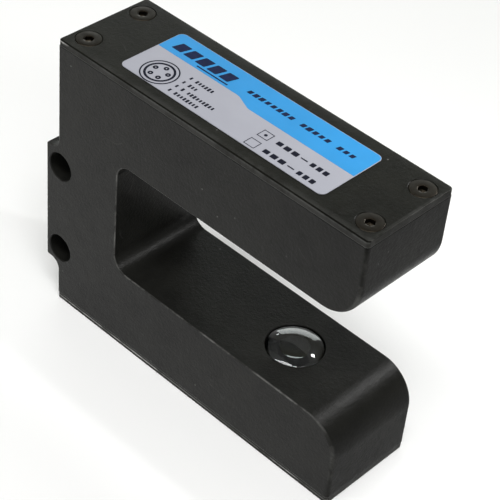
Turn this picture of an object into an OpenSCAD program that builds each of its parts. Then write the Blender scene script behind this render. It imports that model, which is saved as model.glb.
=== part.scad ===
// Fork-shaped (C-frame) photoelectric edge sensor with a round 5-pin connector.
// The origin is the middle of the base: X runs along the arms, Z is up, and
// the two flat sides of the fork face -Y and +Y.

/* [Fork body] */
// Overall height, both covers included
total_h = 73.7; // [70:0.1:80]
// Arm length, from the back of the spine to the arm tips
arm_l = 87.5; // [82:0.5:100]
// Thickness of the fork (Y)
body_t = 25.5; // [24:0.5:30]
// Sensing gap between the arms
gap = 30; // [25:0.5:34]
// Thickness of the spine that joins the arms
spine_t = 19.2; // [18:0.1:24]
// Radius in the two inner corners of the sensing gap
slot_r = 4; // [2:0.5:6]
// Radius of the arm corners at the mouth of the gap
tip_r = 8.8; // [5:0.1:9]
// Radius of the upright edges at the arm tips
front_r = 1; // [0.5:0.25:3]
// Radius of the upright edges at the back of the spine
back_r = 0.5; // [0.5:0.25:1.5]
// Side wall of the milled pockets
wall = 3; // [2.5:0.1:3.5]

/* [Mounting lug] */
// How far the lug stands out behind the spine
lug_d = 3.9; // [3.5:0.1:6]
// Height of the lug's lower face
lug_z0 = 11.3; // [10:0.1:13]
// Height of the lug's upper face
lug_z1 = 44.4; // [42:0.1:46]
// Fillet where the lug meets the spine
lug_r = 2.5; // [1:0.5:3]
// Diameter of the two mounting holes
hole_d = 7; // [6.4:0.1:7]
// Distance between the two mounting holes
hole_pitch = 24; // [22:0.5:25]
// Height of the middle of the hole pair
hole_z = 27.65; // [27:0.05:28]
// Hole centre line, forward of the back of the spine
hole_x = 0.7; // [0.5:0.1:1]

/* [Covers] */
// Thickness of the top and bottom cover plates
cover_t = 1.5; // [1.5:0.1:2]
// Thickness of the flat gaskets under the covers
gasket_t = 0.2; // [0.2:0.1:0.5]
// How far the cover edge sits inside the body edge
cover_inset = 0.1; // [0.1:0.05:0.4]
// Cover screws, distance from each end of the body
screw_x = 4; // [4:0.1:4.5]
// Cover screws, distance from the middle plane
screw_y = 7.8; // [7.5:0.1:8]

/* [Optics] */
// Optical axis, forward of the back of the spine
lens_x = 63.6; // [60:0.1:66]
// Diameter of the lenses
lens_d = 13.2; // [12:0.1:13.5]
// Height of the lens dome above the arm face
dome_h = 1.7; // [1:0.1:2]

/* [Connector] */
// Height of the connector's axis
con_z = 58; // [57:0.5:58.5]
// Diameter of the coupling thread
con_d = 12; // [11:0.5:12]
// How far the connector stands out behind the spine
con_out = 7.8; // [7:0.1:8]

/* [Label] */
// Length of the label plate
label_l = 57.4; // [50:0.1:60]
// Width of the label plate
label_w = 18.4; // [15:0.1:19]
// Thickness of the label plate
label_t = 0.15; // [0.1:0.05:0.2]

/* [Hidden] */
$fn = 96;

e = 0.01;                                   // overcut of a cutting tool
ox = -(arm_l - con_out) / 2;                // back of the spine in the part's frame
stack = cover_t + gasket_t;                 // a cover and its gasket
z_lo = stack;                               // underside of the body block
z_hi = total_h - stack;                     // top of the body block
z1 = (total_h - gap) / 2;                   // lower face of the sensing gap
z2 = (total_h + gap) / 2;                   // upper face of the sensing gap
x_end = arm_l;                              // arm tips
cav_x0 = 7;                                 // back end of the pockets
cav_x1 = arm_l - 8;                         // front end of the pockets
cav_y = body_t / 2 - wall;                  // half width of the pockets
cav_r = 2;                                  // pocket corner radius
chan_x1 = spine_t - 3.5;                    // front of the channel through the spine
lens_wall = 3;                              // arm wall that holds a lens
lo_roof = z1 - lens_wall;                   // roof of the lower pocket
up_floor = z2 + lens_wall;                  // floor of the upper pocket
seat_d = 1.8;                               // depth of a lens seat
post_x = [28, 75];                          // board posts
board_x0 = 20;                              // boards, back end
board_x1 = 79;                              // boards, front end
board_w = 18;                               // board width
board_t = 1.6;                              // board thickness
eb_z = 7.4;                                 // underside of the emitter board
mb_z = 64.6;                                // underside of the main board
screw_l = 8;                                // length of a cover screw
head_r = 3;                                 // cover screw head
trim_x = 48;                                // gain trimmer
trim_y = 5;
pin_r = 2.6;                                // circle of the connector pins
pin_a = [for (i = [0:4]) 90 + 72 * i];
wire_r = 0.4;
link_y = 6;                                 // leads between the boards
link_x = 14.2;

// ---------- plain shapes ----------

// Rectangle from (x0, -w/2) to (x1, w/2), with its own radius at each end
module plan(x0, x1, w, r0, r1) {
    h = w / 2;
    translate([x0, -h + r0]) square([x1 - x0, w - 2 * r0]);
    translate([x0 + r0, -h]) square([x1 - x0 - r0 - r1, w]);
    translate([x0 + r0 + e, -h + r1]) square([x1 - x0 - r0 - e, w - 2 * r1]);
    for (s = [-1, 1]) {
        translate([x0 + r0, s * (h - r0)]) circle(r = r0);
        translate([x1 - r1, s * (h - r1)]) circle(r = r1);
    }
}

// Rounded block on a plan outline, between two heights
module slab(x0, x1, w, r, za, zb) {
    translate([0, 0, za]) linear_extrude(zb - za) plan(x0, x1, w, r, r);
}

// Cylinder along +X from x, at height z
module xcyl(x, l, r, y = 0, z = con_z) {
    translate([x, y, z]) rotate([0, 90, 0]) cylinder(r = r, h = l);
}

// Regular hexagonal prism across its flats
module hex(af, h) {
    cylinder(d = af / cos(30), h = h, $fn = 6);
}

// Everything is drawn from the back of the spine and set in the part's frame here
module placed() {
    translate([ox, 0, 0]) children();
}

// ---------- fork body ----------

// Side outline of the fork (X, Z), without the lug
module fork_outline() {
    difference() {
        translate([0, z_lo]) square([arm_l, z_hi - z_lo]);
        // sensing gap with round inner corners
        translate([spine_t + slot_r, z1]) square([arm_l, gap]);
        translate([spine_t, z1 + slot_r]) square([arm_l, gap - 2 * slot_r]);
        for (z = [z1 + slot_r, z2 - slot_r]) translate([spine_t + slot_r, z]) circle(r = slot_r);
        // round corners at the mouth
        difference() {
            translate([arm_l - tip_r, z1 - tip_r]) square([tip_r + 1, tip_r + 1]);
            translate([arm_l - tip_r, z1 - tip_r]) circle(r = tip_r);
        }
        difference() {
            translate([arm_l - tip_r, z2 - 1]) square([tip_r + 1, tip_r + 1]);
            translate([arm_l - tip_r, z2 + tip_r]) circle(r = tip_r);
        }
    }
}

// Side outline of the lug, with fillets into the spine
module lug_outline() {
    c = 0.6;
    translate([-lug_d, lug_z0 + c]) square([lug_d + back_r, lug_z1 - lug_z0 - 2 * c]);
    translate([-lug_d + c, lug_z0]) square([lug_d + back_r - c, lug_z1 - lug_z0]);
    for (z = [lug_z0 + c, lug_z1 - c]) translate([-lug_d + c, z]) circle(r = c);
    difference() {
        translate([-lug_r, lug_z0 - lug_r]) square([lug_r + back_r, lug_r + 1]);
        translate([-lug_r, lug_z0 - lug_r]) circle(r = lug_r);
    }
    difference() {
        translate([-lug_r, lug_z1 - 1]) square([lug_r + back_r, lug_r + 1]);
        translate([-lug_r, lug_z1 + lug_r]) circle(r = lug_r);
    }
}

module housing() {
    color([0.16, 0.16, 0.155]) placed() difference() {
        union() {
            difference() {
                intersection() {
                    translate([0, body_t / 2, 0]) rotate([90, 0, 0]) linear_extrude(body_t) fork_outline();
                    translate([0, 0, z_lo]) linear_extrude(z_hi - z_lo) plan(0, arm_l, body_t, back_r, front_r);
                }
                // pockets in the two arms and the channel that joins them
                slab(cav_x0, cav_x1, 2 * cav_y, cav_r, z_lo - 1, lo_roof);
                slab(cav_x0, cav_x1, 2 * cav_y, cav_r, up_floor, z_hi + 1);
                slab(cav_x0, chan_x1, 2 * cav_y, cav_r, lo_roof - 1, up_floor + 1);
            }
            translate([0, body_t / 2, 0]) rotate([90, 0, 0]) linear_extrude(body_t) lug_outline();
            // posts for the circuit boards
            for (x = post_x) {
                translate([x, 0, eb_z + board_t]) cylinder(r = 2.4, h = lo_roof - eb_z - board_t + 0.5);
                translate([x, 0, up_floor - 0.5]) cylinder(r = 2.4, h = mb_z - up_floor + 0.5);
            }
        }
        // mounting holes through the lug
        for (s = [-1, 1]) translate([hole_x, body_t / 2 + 1, hole_z + s * hole_pitch / 2])
            rotate([90, 0, 0]) cylinder(d = hole_d, h = body_t + 2);
        // tapped holes for the cover screws
        for (x = [screw_x, arm_l - screw_x], y = [-screw_y, screw_y]) {
            translate([x, y, z_lo - 1]) cylinder(r = 1.52, h = 9.2);
            translate([x, y, z_hi - 8.2]) cylinder(r = 1.52, h = 9.2);
        }
        // tapped holes for the board screws
        for (x = post_x) {
            translate([x, 0, eb_z + board_t - 1]) cylinder(r = 1.02, h = 6);
            translate([x, 0, mb_z - 5]) cylinder(r = 1.02, h = 6);
        }
        // stepped lens seats
        translate([lens_x, 0, z1 - seat_d]) cylinder(d = lens_d + 0.1, h = seat_d + 1);
        translate([lens_x, 0, lo_roof - 1]) cylinder(d = lens_d - 2.4, h = lens_wall + 1);
        translate([lens_x, 0, z2 - 1]) cylinder(d = lens_d + 0.1, h = seat_d + 1);
        translate([lens_x, 0, z2]) cylinder(d = lens_d - 2.4, h = lens_wall + 1);
        // connector hole
        xcyl(-1, cav_x0 + 2, 5.52);
    }
}

// ---------- covers, gaskets, screws ----------

// Cover plate with four countersunk holes; its outer face is at z = cover_t
module cover_plate() {
    difference() {
        linear_extrude(cover_t) plan(cover_inset, arm_l - cover_inset, body_t - 2 * cover_inset, back_r, front_r - cover_inset);
        for (x = [screw_x, arm_l - screw_x], y = [-screw_y, screw_y]) {
            translate([x, y, -1]) cylinder(r = 1.6, h = cover_t + 2);
            translate([x, y, cover_t - 1.45]) cylinder(r1 = 1.6, r2 = 1.6 + 1.46, h = 1.46);
        }
    }
}

module gasket_plate() {
    difference() {
        linear_extrude(gasket_t) plan(0.5, arm_l - 0.5, body_t - 1, back_r, front_r - 0.5);
        translate([0, 0, -1]) linear_extrude(gasket_t + 2) plan(cav_x0 + 0.5, cav_x1 - 0.5, 2 * cav_y - 1, cav_r, cav_r);
        for (x = [screw_x, arm_l - screw_x], y = [-screw_y, screw_y])
            translate([x, y, -1]) cylinder(r = 1.6, h = gasket_t + 2);
    }
}

// Countersunk hexagon-socket screw, head face at z = 0, shank towards -Z
module csk_screw(l, hr, sr, af, hd) {
    difference() {
        union() {
            translate([0, 0, -(hr - sr)]) cylinder(r1 = sr, r2 = hr, h = hr - sr);
            translate([0, 0, -l]) cylinder(r = sr, h = l - (hr - sr) + e);
        }
        translate([0, 0, -hd]) hex(af, hd + 1);
    }
}

module cover_screw_set() {
    for (x = [screw_x, arm_l - screw_x], y = [-screw_y, screw_y])
        translate([x, y, 0]) csk_screw(screw_l, 2.98, 1.5, 2, 1.1);
}

module top_cover() {
    color([0.13, 0.13, 0.12]) placed() translate([0, 0, total_h - cover_t]) cover_plate();
}

module bottom_cover() {
    color([0.13, 0.13, 0.12]) placed() translate([0, 0, cover_t]) mirror([0, 0, 1]) cover_plate();
}

module top_cover_gasket() {
    color([0.05, 0.05, 0.05]) placed() translate([0, 0, z_hi]) gasket_plate();
}

module bottom_cover_gasket() {
    color([0.05, 0.05, 0.05]) placed() translate([0, 0, cover_t]) gasket_plate();
}

module top_cover_screws() {
    color([0.24, 0.22, 0.19]) placed() translate([0, 0, total_h - 0.05]) cover_screw_set();
}

module bottom_cover_screws() {
    color([0.24, 0.22, 0.19]) placed() translate([0, 0, 0.05]) mirror([0, 0, 1]) cover_screw_set();
}

module label() {
    color([0.68, 0.68, 0.73]) placed() translate([0, 0, total_h])
        linear_extrude(label_t) plan((arm_l - label_l) / 2, (arm_l + label_l) / 2, label_w, 2.4, 2.4);
}

// ---------- optics ----------

// Plano-convex lens, flat side at z = 0, dome up
module lens(edge, top) {
    r = lens_d / 2;
    dome = top - edge;
    sr = (r * r + dome * dome) / (2 * dome);
    intersection() {
        cylinder(r = r, h = top + 1);
        union() {
            cylinder(r = r, h = edge);
            translate([0, 0, top - sr]) sphere(r = sr);
        }
        translate([0, 0, 0]) cylinder(r = r + 1, h = top + 1);
    }
}

module seat_ring() {
    difference() {
        cylinder(r = lens_d / 2, h = 0.3);
        translate([0, 0, -1]) cylinder(r = lens_d / 2 - 1.1, h = 3);
    }
}

// Blackened tube that keeps stray light off the optical element
module light_tube(h) {
    difference() {
        cylinder(r = 6.3, h = h);
        translate([0, 0, -1]) cylinder(r = 5, h = h + 2);
    }
}

module emitter_lens() {
    color([0.7, 0.8, 0.85, 0.5]) placed() translate([lens_x, 0, z1 - seat_d + 0.3]) lens(1.2, seat_d - 0.3 + dome_h);
}

module emitter_lens_seal() {
    color([0.08, 0.08, 0.08]) placed() translate([lens_x, 0, z1 - seat_d]) seat_ring();
}

module emitter_light_tube() {
    color([0.06, 0.06, 0.06]) placed() translate([lens_x, 0, eb_z + board_t]) light_tube(lo_roof - eb_z - board_t);
}

module receiver_lens() {
    color([0.7, 0.8, 0.85, 0.5]) placed() translate([lens_x, 0, z2 + seat_d - 0.3]) mirror([0, 0, 1]) lens(1.2, seat_d - 0.3 + dome_h);
}

module receiver_lens_seal() {
    color([0.08, 0.08, 0.08]) placed() translate([lens_x, 0, z2 + seat_d - 0.3]) seat_ring();
}

module receiver_light_tube() {
    color([0.06, 0.06, 0.06]) placed() translate([lens_x, 0, up_floor]) light_tube(mb_z - up_floor);
}

// 5 mm domed package with its collar on the board, dome towards +Z
module domed_package(h) {
    cylinder(r = 2.9, h = 1);
    cylinder(r = 2.5, h = h - 2.5);
    translate([0, 0, h - 2.5]) sphere(r = 2.5);
}

module emitter_led() {
    color([0.75, 0.8, 0.95, 0.6]) placed() translate([lens_x, 0, eb_z + board_t]) domed_package(8.2);
}

module receiver_photodiode() {
    color([0.12, 0.1, 0.16]) placed() translate([lens_x, 0, mb_z]) mirror([0, 0, 1]) domed_package(8.2);
}

// ---------- boards and what is on them ----------

module board(z) {
    difference() {
        translate([0, 0, z]) linear_extrude(board_t) plan(board_x0, board_x1, board_w, 1, 1);
        for (x = post_x) translate([x, 0, z - 1]) cylinder(r = 1.1, h = board_t + 2);
    }
}

// Pan-head board screw, head face outward, shank towards -Z from z = 0
module pan_screw() {
    difference() {
        union() {
            cylinder(r = 1.9, h = 1.3);
            translate([0, 0, -5]) cylinder(r = 1, h = 5 + e);
        }
        translate([0, 0, 0.6]) hex(1.5, 2);
    }
}

// Small-outline chip with n leads on each long side, base at z = 0
module so_chip(l, w, h, n) {
    translate([-l / 2, -w / 2, 0.1]) cube([l, w, h]);
    for (i = [0:n - 1], s = [-1, 1])
        translate([-(n - 1) * 0.635 + i * 1.27 - 0.2, s * (w / 2 + 0.45) - 0.5, 0]) cube([0.4, 1, 0.35]);
}

// Upright electrolytic capacitor: base and can
module can_capacitor(r, h) {
    translate([-r - 0.15, -r - 0.15, 0]) cube([2 * r + 0.3, 2 * r + 0.3, 0.8]);
    cylinder(r = r, h = h);
}

module chip_resistor() {
    translate([-1, -0.62, 0]) cube([2, 1.25, 0.55]);
}

module emitter_board() {
    color([0.08, 0.32, 0.16]) placed() board(eb_z);
}

module emitter_board_screws() {
    color([0.6, 0.6, 0.6]) placed() for (x = post_x) translate([x, 0, eb_z]) mirror([0, 0, 1]) pan_screw();
}

module emitter_driver_chip() {
    color([0.1, 0.1, 0.1]) placed() translate([50, 0, eb_z]) mirror([0, 0, 1]) so_chip(5, 4, 1.5, 4);
}

module emitter_capacitor() {
    color([0.55, 0.56, 0.58]) placed() translate([38, 3, eb_z]) mirror([0, 0, 1]) can_capacitor(2, 4.4);
}

module emitter_resistors() {
    color([0.15, 0.15, 0.18]) placed() for (p = [[38, -4], [42.5, -4], [57, -4], [57, 4], [61, 4]])
        translate([p[0], p[1], eb_z]) mirror([0, 0, 1]) chip_resistor();
}

// Single-row wire header of n ways along Y, base at z = 0
module header(n) {
    translate([-1.25, -n * 0.625 - 0.4, 0]) cube([2.5, n * 1.25 + 0.8, 2.6]);
}

module emitter_header() {
    color([0.9, 0.88, 0.8]) placed() translate([24, link_y, eb_z + board_t]) header(3);
}

module main_board() {
    color([0.08, 0.32, 0.16]) placed() board(mb_z);
}

module main_board_screws() {
    color([0.6, 0.6, 0.6]) placed() for (x = post_x) translate([x, 0, mb_z + board_t]) pan_screw();
}

module amplifier_chip() {
    color([0.1, 0.1, 0.1]) placed() translate([57, -3, mb_z + board_t]) so_chip(5, 4, 1.5, 4);
}

module voltage_regulator() {
    color([0.1, 0.1, 0.1]) placed() translate([37.5, -4, mb_z + board_t]) {
        translate([-3.25, -1.75, 0.05]) cube([6.5, 3.5, 1.6]);
        translate([-1.5, 1.65, 0]) cube([3, 1.8, 0.3]);
        for (i = [-1:1]) translate([i * 2.3 - 0.35, -3.4, 0]) cube([0.7, 1.75, 0.3]);
    }
}

module filter_capacitors() {
    color([0.55, 0.56, 0.58]) placed() for (p = [[36, 4.5], [42, 4.5]])
        translate([p[0], p[1], mb_z + board_t]) can_capacitor(2, 5);
}

module board_resistors() {
    color([0.15, 0.15, 0.18]) placed() for (p = [[45, -3], [49, -3], [45, -6], [49, -6], [57, 3], [61, 3], [65, 3], [65, -3]])
        translate([p[0], p[1], mb_z + board_t]) chip_resistor();
}

// One header under the board for the connector leads, one on top for the link leads
module main_headers() {
    color([0.9, 0.88, 0.8]) placed() {
        translate([22.5, 0, mb_z - 2.6]) header(5);
        translate([24, link_y, mb_z + board_t]) header(3);
    }
}

// Single-turn trimmer: square body with a round seat for the rotor
module gain_trimmer_body() {
    color([0.12, 0.28, 0.62]) placed() translate([trim_x, trim_y, mb_z + board_t]) difference() {
        translate([-2.5, -2.5, 0]) cube([5, 5, 4]);
        translate([0, 0, 2.5]) cylinder(r = 1.85, h = 3);
    }
}

// Rotor with a screwdriver slot, turned by hand with the cover off
module gain_trimmer_rotor() {
    color([0.93, 0.93, 0.9]) placed() translate([trim_x, trim_y, mb_z + board_t + 2.55]) difference() {
        cylinder(r = 1.8, h = 1.8);
        translate([-2.5, -0.25, 1]) cube([5, 0.5, 1.5]);
    }
}

// ---------- connector ----------

module connector_shell() {
    color([0.72, 0.72, 0.72]) placed() difference() {
        union() {
            xcyl(-con_out, con_out, con_d / 2);
            xcyl(-2, 1.5, 7.5);
            xcyl(-1, 12, 5.5);
        }
        // the flange stands off the spine by the seal
        difference() {
            xcyl(-0.5, 0.5, 7.6);
            xcyl(-1, 2, 5.5);
        }
        xcyl(-con_out - 1, 20, 4.8);
        // key slot at the mouth
        translate([-con_out - 1, -0.8, con_z + 4.3]) cube([3, 1.6, 0.9]);
    }
}

module connector_seal() {
    color([0.07, 0.07, 0.07]) placed() difference() {
        xcyl(-0.5, 0.5, 7.3);
        xcyl(-1, 2, 5.55);
    }
}

module connector_insert() {
    color([0.1, 0.09, 0.08]) placed() difference() {
        xcyl(-1.5, 11, 4.75);
        for (a = pin_a) xcyl(-3, 15, 0.52, pin_r * cos(a), con_z + pin_r * sin(a));
    }
}

module connector_pins() {
    color([0.85, 0.7, 0.35]) placed() for (a = pin_a)
        xcyl(-con_out + 1.2, con_out + 10.3, 0.5, pin_r * cos(a), con_z + pin_r * sin(a));
}

module connector_nut() {
    color([0.7, 0.7, 0.7]) placed() difference() {
        translate([cav_x0, 0, con_z]) rotate([0, 90, 0]) hex(14, 2.2);
        xcyl(cav_x0 - 1, 5, 5.52);
    }
}

// Wire along +X from (x, y, z), a round bend, then up (s = 1) or down (s = -1) to z_to
module bent_wire(x, y, z, xb, z_to, s, r) {
    translate([x, y, z]) rotate([0, 90, 0]) cylinder(r = wire_r, h = xb - r - x);
    translate([xb - r, y, z + s * r]) rotate([90, 0, 0]) rotate([0, 0, s > 0 ? -90 : 0])
        rotate_extrude(angle = 90) translate([r, 0]) circle(r = wire_r);
    translate([xb, y, s > 0 ? z + r : z_to]) cylinder(r = wire_r, h = s * (z_to - z) - r);
}

// Five leads from the solder cups to the header under the main board
module connector_wires() {
    zt = mb_z - 2.6;
    color([0.75, 0.15, 0.1]) placed() for (i = [0:4]) {
        y = pin_r * cos(pin_a[i]);
        z = con_z + pin_r * sin(pin_a[i]);
        xb = z > con_z + 2 ? 22.5 : (z > con_z ? 22.2 : 22.8);
        bent_wire(11.5, y, z, xb, zt, 1, 1.2);
    }
}

// Quarter bend of a wire in the XZ plane, centred at (x, y, z), starting at angle a0
module wire_bend(x, y, z, a0) {
    translate([x, y, z]) rotate([90, 0, 0]) rotate([0, 0, a0])
        rotate_extrude(angle = 90) translate([1.2, 0]) circle(r = wire_r);
}

// Three leads from the main board, down the channel in the spine, to the emitter board
module link_wires() {
    zb = eb_z + board_t + 2.6 + 1.6;        // run above the emitter board
    zt = mb_z + board_t + 2.6 + 1.6;        // run above the main board
    xh = 24;                                // headers
    r = 1.2;
    color([0.1, 0.2, 0.6]) placed() for (i = [-1:1]) {
        y = link_y + i * 1.25;
        translate([xh, y, zt - r - 0.4]) cylinder(r = wire_r, h = 0.4);
        wire_bend(xh - r, y, zt - r, 0);
        translate([link_x + r, y, zt]) rotate([0, 90, 0]) cylinder(r = wire_r, h = xh - link_x - 2 * r);
        wire_bend(link_x + r, y, zt - r, 90);
        translate([link_x, y, zb + r]) cylinder(r = wire_r, h = zt - zb - 2 * r);
        wire_bend(link_x + r, y, zb + r, 180);
        translate([link_x + r, y, zb]) rotate([0, 90, 0]) cylinder(r = wire_r, h = xh - link_x - 2 * r);
        wire_bend(xh - r, y, zb - r, 0);
        translate([xh, y, zb - r - 0.4]) cylinder(r = wire_r, h = 0.4);
    }
}

housing();
top_cover();
bottom_cover();
top_cover_gasket();
bottom_cover_gasket();
top_cover_screws();
bottom_cover_screws();
label();
emitter_lens();
emitter_lens_seal();
emitter_light_tube();
emitter_led();
emitter_board();
emitter_board_screws();
emitter_driver_chip();
emitter_capacitor();
emitter_resistors();
emitter_header();
receiver_lens();
receiver_lens_seal();
receiver_light_tube();
receiver_photodiode();
main_board();
main_board_screws();
amplifier_chip();
voltage_regulator();
filter_capacitors();
board_resistors();
main_headers();
gain_trimmer_body();
gain_trimmer_rotor();
connector_shell();
connector_insert();
connector_pins();
connector_seal();
connector_nut();
connector_wires();
link_wires();
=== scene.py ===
import math

import bmesh
import bpy
from mathutils import Matrix, Vector


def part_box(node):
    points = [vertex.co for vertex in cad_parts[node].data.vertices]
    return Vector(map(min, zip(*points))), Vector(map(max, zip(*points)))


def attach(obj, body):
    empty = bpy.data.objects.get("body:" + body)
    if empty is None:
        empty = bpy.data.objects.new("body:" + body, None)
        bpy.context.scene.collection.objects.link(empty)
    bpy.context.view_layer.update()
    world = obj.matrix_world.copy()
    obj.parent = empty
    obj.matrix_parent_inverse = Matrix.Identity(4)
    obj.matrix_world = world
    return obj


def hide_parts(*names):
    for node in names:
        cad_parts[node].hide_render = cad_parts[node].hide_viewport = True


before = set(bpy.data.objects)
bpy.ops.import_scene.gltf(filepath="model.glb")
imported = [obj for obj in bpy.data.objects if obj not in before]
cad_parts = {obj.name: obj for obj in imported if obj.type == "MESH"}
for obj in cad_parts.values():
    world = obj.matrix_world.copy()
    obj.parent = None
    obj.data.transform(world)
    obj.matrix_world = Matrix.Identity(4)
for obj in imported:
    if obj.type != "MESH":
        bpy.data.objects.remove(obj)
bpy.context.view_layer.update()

BODY = "sensor_body"

# ------------------------------------------------------------------ sizes read from the frame, in mm
# Everything is built in millimetres from the back of the spine (X), the middle plane (Y) and the base (Z).
cover_lo, cover_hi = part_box("top_cover")
house_lo, house_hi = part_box("housing")
INSET = 0.1
FRONT_R, BACK_R, EDGE_R = 1.0, 0.5, 0.35
LUG_D = 3.9
X0 = house_lo.x + LUG_D / 1000          # back of the spine in the row frame
L = (house_hi.x - X0) * 1000            # arm tips
HALF = house_hi.y * 1000                # half thickness
Z_LO, Z_HI = house_lo.z * 1000, house_hi.z * 1000
COVER_T = (cover_hi.z - cover_lo.z) * 1000
TOTAL = cover_hi.z * 1000
LUG_Z0, LUG_Z1, LUG_R = 11.3, 44.4, 2.5
XS, SLOT_R, TIP_R = 19.2, 4.0, 8.8
Z1, Z2 = 21.85, 51.85
LENS_LO, LENS_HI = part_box("emitter_lens")
LENS_X = ((LENS_LO.x + LENS_HI.x) / 2 - X0) * 1000
LENS_R = (LENS_HI.x - LENS_LO.x) * 500
SCREW_LO, SCREW_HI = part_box("top_cover_screws")
SCREW_X = [(SCREW_LO.x - X0) * 1000 + 2.98, (SCREW_HI.x - X0) * 1000 - 2.98]
SCREW_Y = SCREW_HI.y * 1000 - 2.98
CON_LO, CON_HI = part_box("connector_shell")
CON_OUT = (X0 - CON_LO.x) * 1000
CON_Z = (CON_LO.z + CON_HI.z) * 500
HOLE_X, HOLE_Z = 0.7, (15.65, 39.65)


def rowframe(v):
    return (v[0] / 1000 + X0, v[1] / 1000, v[2] / 1000)


# ------------------------------------------------------------------ mesh helpers

def to_object(name, bm, materials, smooth=True, weighted=True, angle=35.0):
    """The mesh in mm becomes an object in metres, in the row frame, with its normals recalculated outward."""
    bmesh.ops.recalc_face_normals(bm, faces=bm.faces[:])
    me = bpy.data.meshes.new(name)
    for v in bm.verts:
        v.co = rowframe(v.co)
    bm.to_mesh(me)
    bm.free()
    ob = bpy.data.objects.new(name, me)
    bpy.context.scene.collection.objects.link(ob)
    for m in materials:
        me.materials.append(m)
    if smooth:
        shade(ob, angle, weighted)
    return ob


def shade(ob, angle=35.0, weighted=True):
    me = ob.data
    me.polygons.foreach_set("use_smooth", [True] * len(me.polygons))
    bm = bmesh.new()
    bm.from_mesh(me)
    limit = math.radians(angle)
    for e in bm.edges:
        if len(e.link_faces) == 2:
            e.smooth = e.calc_face_angle(0) < limit
        else:
            e.smooth = False
    bm.to_mesh(me)
    bm.free()
    if weighted:
        mod = ob.modifiers.new("normals", "WEIGHTED_NORMAL")
        mod.keep_sharp = True
        mod.weight = 100
        mod.mode = "FACE_AREA"


def arc(cx, cz, r, a0, a1, n):
    return [(cx + r * math.cos(math.radians(a0 + (a1 - a0) * i / n)), cz + r * math.sin(math.radians(a0 + (a1 - a0) * i / n))) for i in range(n + 1)]


def revolve(bm, profile, segments, axis="Z", centre=(0, 0, 0), close=False, flip=False):
    """Turns (radius, height) pairs about an axis. A radius of 0 becomes a pole."""
    rings = []
    for r, h in profile:
        ring = []
        count = 1 if r < 1e-9 else segments
        for i in range(count):
            a = 2 * math.pi * i / segments
            x, y = r * math.cos(a), r * math.sin(a)
            if axis == "Z":
                p = (x, y, h)
            elif axis == "X":
                p = (h, x, y)
            else:
                p = (x, h, y)
            ring.append(bm.verts.new((p[0] + centre[0], p[1] + centre[1], p[2] + centre[2])))
        rings.append(ring)
    pairs = list(zip(rings, rings[1:]))
    if close:
        pairs.append((rings[-1], rings[0]))
    for a, b in pairs:
        for i in range(segments):
            j = (i + 1) % segments
            if len(a) == 1 and len(b) == 1:
                continue
            if len(a) == 1:
                f = [a[0], b[i], b[j]]
            elif len(b) == 1:
                f = [a[i], b[0], a[j]]
            else:
                f = [a[i], b[i], b[j], a[j]]
            bm.faces.new(f)
    return rings


def plan_outline(x0, x1, w, r0, r1, n0=8, n1=10, front=()):
    """Rounded rectangle in plan, counter-clockwise."""
    h = w / 2
    pts = []
    pts += arc(x1 - r1, -h + r1, r1, -90, 0, n1)
    pts += arc(x1 - r1, h - r1, r1, 0, 90, n1)
    pts += arc(x0 + r0, h - r0, r0, 90, 180, n0)
    pts += arc(x0 + r0, -h + r0, r0, 180, 270, n0)
    pts += [(x, -h) for x in front if x0 + r0 < x < x1 - r1]
    return pts


def inset_outline(pts, d):
    """Moves a counter-clockwise convex outline inward by d, along its corner normals."""
    n = len(pts)
    out = []
    for i in range(n):
        ax, ay = pts[i - 1]
        bx, by = pts[i]
        cx, cy = pts[(i + 1) % n]
        e1, e2 = Vector((bx - ax, by - ay)), Vector((cx - bx, cy - by))
        if e1.length < 1e-9 or e2.length < 1e-9:
            e1 = e2 = e1 if e1.length > e2.length else e2
        n1 = Vector((-e1.y, e1.x)).normalized()
        n2 = Vector((-e2.y, e2.x)).normalized()
        m = (n1 + n2).normalized()
        k = d / max(0.3, m.dot(n1))
        out.append((bx + m.x * k, by + m.y * k))
    return out


def plate(name, outline, z0, z1, edge, materials, edge_wear_and_highlight=True, bottom_edge=0.0, segments=4, rows=()):
    """A plate with a rounded upper edge (and lower edge if asked), from nested outlines."""
    bm = bmesh.new()
    layer = bm.verts.layers.float.new("edge_wear_and_highlight")
    steps = []
    if bottom_edge > 0:
        for i in range(segments + 1):
            a = math.pi / 2 * i / segments
            steps.append((bottom_edge * (1 - math.sin(a)), z0 + bottom_edge * (1 - math.cos(a)), math.sin(2 * a)))
    else:
        steps.append((0, z0, 0))
    for t in rows:
        steps.append((0, z1 - edge - t, 0))
    for i in range(segments + 1):
        a = math.pi / 2 * i / segments
        steps.append((edge * (1 - math.cos(a)), z1 - edge + edge * math.sin(a), math.sin(2 * a)))
    rings = []
    for d, z, w in steps:
        o = inset_outline(outline, d) if d > 0 else outline
        ring = []
        for x, y in o:
            v = bm.verts.new((x, y, z))
            v[layer] = w if edge_wear_and_highlight else 0
            ring.append(v)
        rings.append(ring)
    n = len(outline)
    for a, b in zip(rings, rings[1:]):
        for i in range(n):
            j = (i + 1) % n
            bm.faces.new([a[i], a[j], b[j], b[i]])
    bm.faces.new(list(reversed(rings[0])))
    bm.faces.new(rings[-1])
    return bm


def object_from(bm, name):
    bmesh.ops.recalc_face_normals(bm, faces=bm.faces[:])
    me = bpy.data.meshes.new(name)
    bm.to_mesh(me)
    bm.free()
    ob = bpy.data.objects.new(name, me)
    bpy.context.scene.collection.objects.link(ob)
    return ob


def boolean(target, cutter, op="DIFFERENCE"):
    mod = target.modifiers.new("cut", "BOOLEAN")
    mod.operation = op
    mod.solver = "EXACT"
    mod.object = cutter
    dg = bpy.context.evaluated_depsgraph_get()
    dg.update()
    me = bpy.data.meshes.new_from_object(target.evaluated_get(dg), depsgraph=dg)
    target.modifiers.clear()
    old = target.data
    target.data = me
    bpy.data.meshes.remove(old)
    bpy.data.objects.remove(cutter)
    return target


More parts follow.
